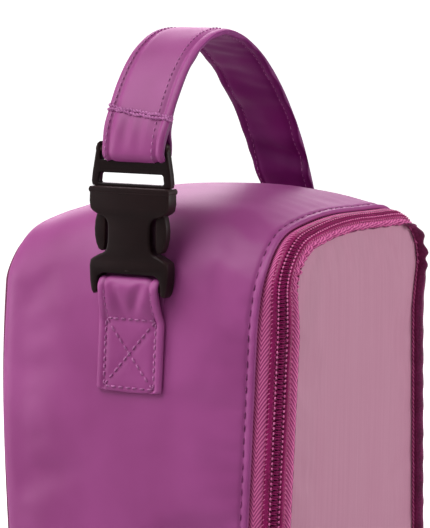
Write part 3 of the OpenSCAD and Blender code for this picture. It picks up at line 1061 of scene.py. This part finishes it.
def filler_cord(name, side, start, end):
    """Cord sewn over the legs of the teeth."""
    section = ((6.4, 0.2), (5.9, 1.35), (5.0, 1.95), (3.9, 2.2), (3.2, 1.8), (3.3, 0.6), (5.0, 0.1))
    rows = []
    for s in stations(start, end, 1.4 * MM):
        rows.append([band_frame(s, side * u, n + 0.1 * wobble(s * 400, u, 0.0))
                     for u, n in section])
    return capped_sheet(name, rows, [COIL_THREAD])


def build_coil(name, side, body, runs, *nodes):
    """One half of the chain. side is -1 on the wrap and +1 on the door."""
    coil = Soup()
    thread = Soup()
    cords = []
    for start, end in runs:
        add_teeth(coil, thread, side, start, end)
        cords.append(filler_cord(name + "_cord", side, start, end))
    fasten(coil.build(name, COIL), body, "zip_coil", *nodes)
    fasten(thread.build(name + "_sewing", ZIP_THREAD), body, "thread")
    cords = cords[0] if len(cords) == 1 else join(name + "_cords", cords)
    fasten(cords, body, "thread")


def build_chain():
    """Both halves of the chain; the door's half goes on beside the sill."""
    stop = foot_s(STOP_Z)
    hinge = foot_s(DOOR_Z)
    build_coil("coil_on_wrap", -1, "bag", [(stop, full_len - stop)], "zip_coil_body")
    build_coil("coil_on_door", 1, "door", [(hinge, full_len - hinge)], "zip_coil_door")
    build_coil("coil_on_sill", 1, "bag", side_runs(STOP_Z, DOOR_Z - SILL_GAP))


def side_strips(name, section, runs, step, material, thickness):
    """Strips with one section on both sides of the bag, joined as one piece."""
    strips = []
    for start, end in runs:
        rows = [[on_arch(s, inset, y) for inset, y in section] for s in stations(start, end, step)]
        strips.append(sheet(name, rows, [material]))
        thicken(strips[-1], thickness, 0.0)
    return join(name, strips)


def build_sill_tape():
    """The zip's inner tape beside the sill, below the door's hinge."""
    section = band_points(TAPE_U) + [(16.4 * MM, RIM_Y + 1.5 * MM), (17.6 * MM, RIM_Y + 3 * MM)]
    piece = side_strips("zip_tape_on_sill", section, side_runs(STOP_Z, DOOR_Z - SILL_GAP),
                        3 * MM, TAPE, 0.5 * MM)
    fasten(piece, "bag", "zip_tape")


def build_zip_ends():
    section = band_points((10.5, 12, 14, 16, 18, 18.8), 0.2)
    piece = side_strips("zip_end_tabs_leatherette", section, side_runs(FOOT_Z, STOP_Z - 1 * MM),
                        3 * MM, ORCHID, 0.8 * MM)
    fasten(piece, "bag", "leatherette", "zip_end_tabs")


def finish_hard_parts():
    """Materials and soft edges for the CAD solids that stay."""
    for node, material, edge in (("zip_slider", METAL, 0.3), ("zip_pull", METAL, 0.3),
                                 ("zip_stops", METAL, 0.3), ("base_board", BOARD, 0.8)):
        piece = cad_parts[node]
        piece.data.materials.clear()
        piece.data.materials.append(material)
        bevel = piece.modifiers.new("soft_edges", "BEVEL")
        bevel.width = edge * MM
        bevel.segments = 3
        bevel.limit_method = "ANGLE"


# ---- Door

def door_edge(s):
    """Inset of the door cloth's edge, under the tape's fold."""
    return rim_inset(s, 21.2 * MM)


def build_door():
    def depth(d, s, p):
        swell = 2.3 * MM * (1 - math.exp(-d / (16 * MM)))
        pull = 0.9 * MM * math.exp(-d / (10 * MM)) * wobble(s * 90, 0, 1.0) * rim_gather(s)
        soft = 0.6 * MM * wobble(p.x * 14, 1, p.z * 9)
        return RIM_Y + 2.0 * MM - swell + pull + soft * min(1, d / (20 * MM))
    piece = arch_face("door_panel_cloth", door_edge, DOOR_Z, RIM_Y, depth, DOOR, 60, 20)
    edge = [on_arch(s, door_edge(s), RIM_Y) for s in stations(0, full_len, 3 * MM)]

    def pinned(co):
        near = min((co.x - e.x) ** 2 + (co.z - e.z) ** 2 for e in edge)
        return 1.0 if near < (3 * MM) ** 2 or co.z < DOOR_Z + 3 * MM else 0.0
    puff(piece, pinned, -back_sign(piece), 0.004, 1.6 * MM)
    thicken(piece, CLOTH_T, back_sign(piece))
    subdivide(piece)
    fasten(piece, "door", "door_cloth", "door_panel")


def build_door_lining():
    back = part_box("door_lining")[1].y

    def depth(d, s, p):
        return back - 4.6 * MM + 4.4 * MM * (1 - math.exp(-d / (3.5 * MM)))
    pad = arch_face("door_lining_pad", lambda s: 16.4 * MM, DOOR_Z + 0.3 * MM, RIM_Y, depth,
                    LINING, 60, 20)
    thicken(pad, LINING_T, -back_sign(pad))
    fasten(pad, "door", "lining_cloth", "door_lining", "door_foam")


# ---- Handle

def on_corner(angle):
    """Middle of the strap where it lies on the right-hand corner."""
    r = CORNER_R + STRAP_T / 2
    return Vector((corner_x + r * math.cos(angle), 0, corner_z + r * math.sin(angle)))


FAR_LEAN = math.radians(8.5)
FAR_END = on_corner(FAR_LEAN)
FAR_TANGENT = 103 * MM * Vector((-math.sin(FAR_LEAN), 0, math.cos(FAR_LEAN)))
NEAR_END = Vector((BUCKLE_X - 3.9 * MM, 0, END_Z + 3 * MM))
NEAR_TANGENT = Vector((48 * MM, 0, 131 * MM))


def handle_at(t):
    """Curve of the handle's middle, from the buckle at 0 to the far corner at 1."""
    p1 = NEAR_END + NEAR_TANGENT
    p2 = FAR_END + FAR_TANGENT
    return ((1 - t) ** 3 * NEAR_END + 3 * (1 - t) ** 2 * t * p1
            + 3 * (1 - t) * t * t * p2 + t ** 3 * FAR_END)


def near_front(z):
    """Point of the handle's near rise at a height."""
    t = 0.0
    while handle_at(t).z < z:
        t += 0.002
    return handle_at(t)


def strap_top():
    """Upper half of the strap's section as (across, share of half thickness)."""
    w = STRAP_W / 2
    top = [(-w + 0.3 * MM, 0.5), (-w + 1.2 * MM, 0.95), (-w + 2.8 * MM, 1.15),
           (-EDGE_STITCH - 1.0 * MM, 1.0), (-EDGE_STITCH, 0.45), (-EDGE_STITCH + 1.0 * MM, 1.0)]
    top += [(-(EDGE_STITCH - 3.2 * MM) * k / 7, 1.3) for k in range(7, -1, -1)]
    return top + [(-a, b) for a, b in reversed(top[:-1])]


def strap_section():
    """Closed section across the folded strap: (across, out)."""
    half = STRAP_T / 2
    top = strap_top()
    upper = [(a, b * half) for a, b in top]
    under = [(a, -(0.45 * b + 0.5) * half) for a, b in reversed(top)]
    return upper + [(STRAP_W / 2, 0.0)] + under + [(-STRAP_W / 2, 0.0)]


def near_shift(x):
    """Sideways slip of the strap in the buckle, fading out over the crown."""
    return -2.4 * MM * ease(-x / (60 * MM))


def far_pinch(z):
    """The strap is drawn in where it leaves the top on the far side."""
    over = z - FAR_END.z
    return 0.2 * ease((over + 30 * MM) / (30 * MM)) * ease((80 * MM - over) / (60 * MM))


def inner_creases(run, a):
    """Soft creases on the inside of the handle, which lie across it."""
    depth = (0.4 + 1.7 * ease((run - 70 * MM) / (40 * MM))) * MM
    return depth * (wobble(run * 75, a * 40, 1.1) + 0.6 * wobble(run * 160 + a * 60, 0.4, 2.2))


def buckle_pleats(near, a):
    """Pleats between the buckle and the cross stitches; near runs from 0 to 1."""
    pleat = math.sin(a * 700 + 0.8) * 0.5 + wobble(a * 150, near * 1.5, 0.9)
    return (0.9 * pleat + 0.7) * MM * math.sin(math.pi * near) ** 0.7


def strap_rows(path):
    """Rows of the strap's section along a path of (point, out) pairs."""
    rows = []
    run = 0.0
    for i, (p, out) in enumerate(path):
        if i:
            run += (p - path[i - 1][0]).length
        rising = out.x < 0
        near = (p.z - END_Z) / (CROSS_Z - END_Z)
        width = 1 + 0.012 * wobble(run * 28, 0, 0.5)
        if rising:
            width += 0.055 * ease((p.z - END_Z - 5 * MM) / (6 * MM))
        sway = 0.8 * MM * wobble(run * 9, 1.0, 0.2) * ease((run - 60 * MM) / (60 * MM))
        sway += near_shift(p.x)
        row = []
        for a, b in strap_section():
            ripple = 0.22 * MM * wobble(run * 90, a * 60, 0.3)
            if b < 0:
                ripple += inner_creases(run, a)
            if b > 0 and rising and 0 < near < 1:
                ripple += buckle_pleats(near, a)
            y = a * width + sway
            if a > 0 and p.x > 0:
                y *= 1 - far_pinch(p.z)
            row.append(p + out * (b + ripple) + Vector((0, y, 0)))
        rows.append(row)
    return rows


def round_bar(bar, r, turn):
    """Path half way round a bar; turn is 1 over its top and -1 under it."""
    path = []
    for a in range(0, 181, 20):
        d = Vector((math.cos(math.radians(a)), 0, turn * math.sin(math.radians(a))))
        path.append((bar + d * r, d))
    return path


def strap_path():
    """Centre line from the tucked end behind the plug's end bar, round the
    bar, over the handle's arch and down the far side."""
    r = BAR_R + 0.8 * MM + STRAP_T / 2
    behind = 3.3 * MM
    path = []
    for k in range(7):
        t = k / 6
        z = END_Z + (18 - 14 * t) * MM
        front = near_front(z).x + behind
        path.append((Vector((front + (BUCKLE_X + r - front) * t ** 1.5, 0, z)), Vector((1, 0, 0))))
    path += round_bar(Vector((BUCKLE_X, 0, END_Z - 0.8 * MM)), r, -1)
    for t in stations(0.012, 1.0, 0.012):
        d = handle_at(t + 0.001) - handle_at(t - 0.001)
        path.append((handle_at(t), Vector((-d.z, 0, d.x)).normalized()))
    for angle in (0.66 * FAR_LEAN + 0.34 * SIDE_LEAN, SIDE_LEAN):
        path.append((on_corner(angle), Vector((math.cos(angle), 0, math.sin(angle)))))
    side_top = on_corner(SIDE_LEAN)
    down = Vector((math.sin(SIDE_LEAN), 0, -math.cos(SIDE_LEAN)))
    for drop in stations(3 * MM, side_top.z - TAB_Z, 3 * MM):
        path.append((side_top + down * drop, RIGHT_OUT))
    return path


def build_strap():
    path = strap_path()
    rows = strap_rows(path)
    outer = len(strap_top())
    # The strap's underside gets the darker copy of the leatherette, which paints the shade inside
    # the handle.
    slots = [0] * outer + [1] * (len(rows[0]) - outer)
    piece = capped_sheet("handle_strap", rows, [ORCHID, ORCHID_SHADED_INNER], slots)
    subdivide(piece)
    find = surface_finder(piece)
    soup = Soup()
    for a in (-EDGE_STITCH, EDGE_STITCH):
        across = Vector((0, a, 0))
        outside = [(find(p + across, out), out) for p, out in path[12:]]
        inside = [(find(p + across, -out), -out) for p, out in path[24:-12]]
        soup.seam(outside, STRAP_STITCH, 0.42 * MM, 0.74)
        soup.seam(inside, STRAP_STITCH, 0.26 * MM, 0.66)
    thread = soup.build("handle_edge_stitches", THREAD)
    for item in (piece, thread):
        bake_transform(item)
    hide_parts("strap_near", "strap_far")
    return find


def build_cross_stitches(find):
    """Rope-like rows of stitches that close the strap's fold."""
    soup = Soup()
    out = Vector((-1, 0, 0.15)).normalized()
    up = Vector((0.15, 0, 1)).normalized()
    half = 1.05 * STRAP_W / 2
    strands = [(drop, seed, rope + strand) for rope, (drop, seed) in
               enumerate(((0.0, 0.3), (1.5 * MM, 4.1))) for strand in (0, math.pi)]
    for drop, seed, phase in strands:
        path = []
        for y in stations(-0.96 * half, half, 0.7 * MM):
            z = CROSS_Z + 2.8 * MM * y / half - drop + 0.8 * MM * wobble(y * 110, seed, 0.5)
            turn = 2 * math.pi * y / (4.2 * MM) + phase
            p = find(near_front(z) + Vector((0, y + near_shift(BUCKLE_X), 0)), out)
            path.append(p + out * (0.45 + 0.4 * math.cos(turn)) * MM
                        + up * 0.5 * MM * math.sin(turn))
        right, left = [(path[end] + Vector((1.4 * MM, sign * 0.5 * MM, 0)),
                        path[end] + Vector((3.6 * MM, -sign * 0.2 * MM, -0.8 * MM)))
                       for end, sign in ((0, -1), (-1, 1))]
        soup.tube([right[1], right[0]] + path + [left[0], left[1]], 0.62 * MM)
    fasten(soup.build("cross_stitch_rows", THREAD), "plug", "thread", "cross_stitching")


# ---- Tab

def tab_path():
    """Centre line of the tab from behind, over the loop bar and down in front,
    and the number of its points that are behind the front ply."""
    r = LOOP_BAR_R + 0.7 * MM + PLY_T / 2
    bar = Vector((BUCKLE_X, 0, LOOP_Z))
    off = 1.5 * PLY_T + 3.0 * MM
    path = [(side_point(z, PLY_T / 2 + 2.3 * MM), -LEFT_OUT)
            for z in stations(TAB_Z + 1 * MM, TAB_Z + 44 * MM, 3 * MM)]
    path.append((side_point(TAB_Z + 50 * MM, PLY_T / 2 + 3.0 * MM), -LEFT_OUT))
    path += round_bar(bar, r, 1)
    behind = len(path) - 1
    front_top = bar + Vector((-r, 0, -2 * MM))
    seat = side_point(TAB_Z + SEAT_H, off)
    path += [(front_top.lerp(seat, t), LEFT_OUT) for t in (0.25, 0.5, 0.75)]
    path += [(side_point(z, off), LEFT_OUT) for z in stations(TAB_Z + SEAT_H, TAB_Z, 2.5 * MM)]
    return path, behind


def tab_pleats(a, over):
    """V-shaped folds above the seat of the tab."""
    spread = over / (16 * MM) * 8 * MM
    arms = sum(bell(a - 1 * MM - sign * spread, 3 * MM) for sign in (-1, 1))
    fold = 0.6 - 1.5 * arms + 0.4 * wobble(a * 170, (over + SEAT_H) * 60, 0.9)
    return 1.7 * MM * fold * min(1, (over - 1 * MM) / (7 * MM))


def tab_quilting(a, z):
    """The tab sinks in along its boxed cross."""
    u = abs(a) / BOX_W
    v = abs(z - BOX_Z) / BOX_H
    cross = bell(u - v, 0.16) if u < 1 and v < 1 else 0
    seam = bell(v - 1, 0.07) if u < 1.05 else 0
    return -0.55 * MM * max(cross, seam)


def build_tab():
    """Tab folded round the loop bar; both plies are sewn to the side."""
    path, behind = tab_path()
    rows = []
    for i, (p, out) in enumerate(path):
        z = p.z - TAB_Z
        front = i >= behind
        seated = z < SEAT_H + 1 * MM
        width = 1.065 if seated and front else 1.02
        width -= 0.05 * bell(z - 58 * MM, 10 * MM)
        row = []
        for a, b in strap_section():
            b *= PLY_T / STRAP_T
            if front and b > 0:
                b += tab_quilting(a, z) if seated else tab_pleats(a, z - SEAT_H)
            row.append(p + out * b + Vector((0, a * width, 0)))
        rows.append(row)
    piece = capped_sheet("buckle_tab", rows, [ORCHID])
    subdivide(piece)
    fasten(piece, "bag", "leatherette", "tab_near")
    return piece


def box_cross(find, place, out):
    """Stitches in a box with a cross, on the surface that find drops to."""
    soup = Soup()
    w = BOX_W
    h = BOX_H
    for y0, z0, y1, z1, pitch in ((-w, -h, w, -h, 4.6), (-w, h, w, h, 4.6), (-w, -h, -w, h, 4.4),
                                  (w, -h, w, h, 4.4), (-w, -h, w, h, 4.4), (-w, h, w, -h, 4.4)):
        line = []
        for i in range(25):
            t = i / 24
            line.append((find(place(y0 + (y1 - y0) * t, z0 + (z1 - z0) * t), out), out))
        soup.seam(line, pitch * MM, 0.58 * MM, 0.8, jitter=0.5)
    return soup


def build_tab_stitches(tab):
    def place(y, z):
        return side_point(TAB_Z + BOX_Z + z, 6 * MM) + Vector((0, y, 0))
    find = surface_finder(tab)
    soup = box_cross(find, place, LEFT_OUT)
    for a in (-EDGE_STITCH, EDGE_STITCH):
        line = []
        for z in stations(TAB_Z + SEAT_H, LOOP_Z - 1.2 * MM, 2 * MM):
            point = find(Vector((BUCKLE_X - 8 * MM, a, z)), Vector((-1, 0, 0)))
            line.append((point, LEFT_OUT))
        soup.seam(line, STRAP_STITCH, 0.34 * MM)
    fasten(soup.build("tab_box_stitches", THREAD), "bag", "thread", "tab_stitching")


def build_far_stitches(find):
    def place(y, z):
        p = side_point(TAB_Z + BOX_Z + 0.5 * MM + z, 3 * MM)
        return Vector((-p.x, y, p.z))
    soup = box_cross(find, place, RIGHT_OUT)
    fasten(soup.build("far_box_stitches", THREAD), "bag", "thread", "far_stitching")


# ---- Buckle

def level(mm):
    """Height of a level that is given before the buckle's stretch."""
    return TAB_Z + mm * BUCKLE_STRETCH * MM


def dots(*pairs):
    """Outline points from pairs of half width in millimetres and level."""
    return [(y * MM, level(z)) for y, z in pairs]


def mirrored(points):
    """Closed outline from its right half, listed from top to bottom."""
    return points + [(-y, z) for y, z in reversed(points)]


def plate(name, outlines, thickness, bevel):
    """Rounded plastic plate in the buckle's Y-Z plane from closed outlines;
    outlines after the first are holes."""
    curve = bpy.data.curves.new(name, "CURVE")
    curve.dimensions = "2D"
    curve.fill_mode = "BOTH"
    curve.extrude = (thickness / 2 - bevel) * MM
    curve.bevel_depth = bevel * MM
    curve.bevel_resolution = 3
    curve.offset = -bevel * MM
    for outline in outlines:
        spline = curve.splines.new("POLY")
        spline.points.add(len(outline) - 1)
        spline.use_cyclic_u = True
        for point, (y, z) in zip(spline.points, outline):
            point.co = (y, z, 0, 1)
    drawn = new_object(name + "_outline", curve)
    bpy.context.view_layer.update()
    mesh = evaluated_mesh(drawn)
    bpy.data.objects.remove(drawn)
    mesh.name = name
    # curve x, y, z become the frame's -y, z, -x
    mesh.transform(Matrix(((0, 0, -1, BUCKLE_X), (-1, 0, 0, 0), (0, 1, 0, 0), (0, 0, 0, 1))))
    mesh.materials.clear()
    mesh.materials.append(BUCKLE)
    piece = new_object(name, mesh)
    merge_close(piece, 0.01 * MM)
    mesh.polygons.foreach_set("use_smooth", [True] * len(mesh.polygons))
    mesh.set_sharp_from_angle(angle=math.radians(40))
    return piece


def cross_bar(half_w, z, radius):
    """Round bar across the buckle."""
    soup = Soup()
    soup.tube([Vector((BUCKLE_X, y * MM, z)) for y in (-half_w, -8, 8, half_w)], radius, 20)
    return soup


def build_socket():
    """Shell with a lip, a waist between two lobes, and two ears beside the tab."""
    lobe = 5.5 * MM
    lobe_y = 19.1 * MM
    shield = dots((24.4, 99), (25.6, 97.5), (25.8, 92), (25.1, 88.6), (23.4, 87.2))
    shield += arc(lobe_y, level(80.6), lobe, 90, 180, 7)
    shield += dots((13.5, 76), (13.8, 72))
    shield += arc(lobe_y + 0.4 * MM, level(71.6), lobe, 180, 262, 7)
    shield += dots((22.6, 65.2), (24.8, 64), (25.4, 61), (25, 54), (24, 49), (22.6, 47.5),
                   (20.6, 48.5), (20.2, 53), (19.4, 56), (16.6, 57.6))
    lip = dots((25, 99.2), (25.9, 98.2), (25.9, 97), (25, 96.2))
    soup = cross_bar(22.5, LOOP_Z, LOOP_BAR_R)
    mark = Vector((BUCKLE_X - 5.0 * MM, 0, level(59.4)))
    soup.tube([mark + Vector((0, y * MM, 0)) for y in (-1.6, 0, 1.6)], 0.25 * MM, 8)
    piece = join("buckle_socket_shell", [plate("socket_shell", [mirrored(shield)], 10, 1.5),
                                         plate("socket_lip", [mirrored(lip)], 10.6, 0.6),
                                         soup.build("socket_bar", BUCKLE)])
    fasten(piece, "bag", "buckle_plastic", "buckle_socket")


def build_plug():
    """Frame with a slot for the strap, and the root that goes into the socket."""
    ring = dots((19.6, 111.9), (20.2, 113), (20, 119.4), (20.8, 120.6), (22.4, 119.6),
                (23.2, 116), (25.2, 106), (25.8, 101.5), (25.2, 99.6), (22.5, 99))
    slot_hole = dots((19.6, 105.8), (20.4, 105), (20.9, 101.6), (20.2, 100.9))
    root = dots((22, 99.6), (22.6, 98.6), (22.6, 90.2), (21.8, 89.5), (7.4, 89.5), (7.2, 72),
                (5.8, 70.4))
    bar = cross_bar(23, END_Z, BAR_R)
    piece = join("buckle_plug_frame", [
        plate("plug_frame", [mirrored(ring), mirrored(slot_hole)], 5.0, 1.0),
        plate("plug_root", [mirrored(root)], 4.8, 0.6), bar.build("plug_bar", BUCKLE)])
    fasten(piece, "plug", "buckle_plastic", "buckle_plug")


def build_arm(side, body):
    """One of the plug's sprung arms, with its thumb pad."""
    outline = dots((16.2, 90.4), (20.2, 90.4), (20.6, 87), (22, 85.6), (22.9, 82.6), (23.3, 79),
                   (23.1, 75.4), (22.2, 71.8), (20.6, 69), (18.6, 68.2), (17, 68.8), (16.4, 71))
    node = "plug_" + body
    piece = plate(node + "_pad", [[(-side * y, z) for y, z in outline]], 5.6, 0.9)
    fasten(piece, body, "buckle_plastic", node)


# ---- Stage

def build_stage():
    """Pale floor that curves up into a backdrop and looks white to the camera."""
    half_w = 6.0
    sweep = arc(1.2, 0.8, 0.8, -75, 0, 5)
    rows = [[Vector((x, y, z - 0.0002)) for x in (-half_w, 0, half_w)]
            for y, z in [(-3.0, 0.0), (1.2, 0.0)] + sweep + [(2.0, 3.5)]]
    pale, paler = screen((190, 190, 190), (194, 194, 194))
    m = Nodes("pale_floor", 0.9, 0.1)
    m.colour(m.ramp(m.noise(6.0, 2.0, m.coords()), 0.3, pale, 0.7, paler))
    seen = m.add("LightPath").outputs["Is Camera Ray"]
    m.shader["Emission Color"].default_value = WHITE
    m.put(m.math("MULTIPLY", seen, 0.95), m.shader["Emission Strength"])
    sheet("floor", rows, [m.material])


def area_light(name, place, size, power, colour=(1, 1, 1)):
    """Square light that points at the middle of the bag."""
    light = bpy.data.lights.new(name, "AREA")
    light.energy = power
    light.size = size
    light.color = colour
    lamp = new_object(name, light)
    lamp.location = place
    aim = Vector((0, 0, 0.25)) - Vector(place)
    lamp.rotation_euler = aim.to_track_quat("-Z", "Y").to_euler()


def build_lights():
    """Soft studio lights, and a world that shines less than it shows."""
    world = bpy.data.worlds.new("studio")
    bpy.context.scene.world = world
    world.use_nodes = True
    tree = world.node_tree
    background = tree.nodes["Background"]
    background.inputs["Color"].default_value = WHITE
    strength = tree.nodes.new("ShaderNodeMapRange")
    strength.inputs["To Min"].default_value = 0.28
    strength.inputs["To Max"].default_value = 1.0
    seen = tree.nodes.new("ShaderNodeLightPath").outputs["Is Camera Ray"]
    tree.links.new(seen, strength.inputs["Value"])
    tree.links.new(strength.outputs["Result"], background.inputs["Strength"])
    area_light("key", (-0.9, 0.7, 1.9), 1.7, 36)
    area_light("fill", (0.9, -1.8, 0.6), 1.0, 21)
    area_light("rim", (-0.8, 1.5, 0.5), 0.6, 7)
    area_light("back", (1.3, 0.9, 1.1), 1.0, 14, (1, 0.84, 0.94))
    bpy.context.scene.view_settings.view_transform = "Standard"


# Angles of the camera; its azimuth is 0 in front of the door, negative towards -X
CAMERA_AZIMUTH = math.radians(-59.4)
CAMERA_ELEVATION = math.radians(8.0)
CAMERA_ROLL = math.radians(0.6)
CAMERA_DISTANCE = 1.45
CAMERA_TARGET = Vector((-0.095, 0.0, 0.232))
CAMERA_LENS = 117.045
CAMERA_SHIFT = (0.1477, 0.1752)


def build_camera():
    """Camera that sees the bag's -X side and front from a little above."""
    data = bpy.data.cameras.new("camera")
    data.sensor_fit = "VERTICAL"
    data.sensor_height = 24
    data.lens = CAMERA_LENS
    data.shift_x, data.shift_y = CAMERA_SHIFT
    data.clip_start = 0.05
    camera = new_object("camera", data)
    flat = math.cos(CAMERA_ELEVATION)
    back = Vector((math.sin(CAMERA_AZIMUTH) * flat, -math.cos(CAMERA_AZIMUTH) * flat,
                   math.sin(CAMERA_ELEVATION)))
    camera.location = CAMERA_TARGET + back * CAMERA_DISTANCE
    aim = back.to_track_quat("Z", "Y") @ Quaternion((0, 0, 1), CAMERA_ROLL)
    camera.rotation_euler = aim.to_euler()
    bpy.context.scene.camera = camera


# ---- Build

wrap = build_wrap()
build_wrap_stitches(wrap)
build_back()
build_piping()
build_lining()
build_back_lining()
build_base()
build_sill()
build_hinge_flap()
build_body_tape()
build_door_tape()
build_door_binding()
build_chain()
build_sill_tape()
build_zip_ends()
finish_hard_parts()
build_door()
build_door_lining()
find_strap = build_strap()
build_cross_stitches(find_strap)
build_far_stitches(find_strap)
tab = build_tab()
build_tab_stitches(tab)
build_socket()
build_plug()
build_arm(-1, "arm_front")
build_arm(1, "arm_rear")
build_stage()
build_lights()
build_camera()
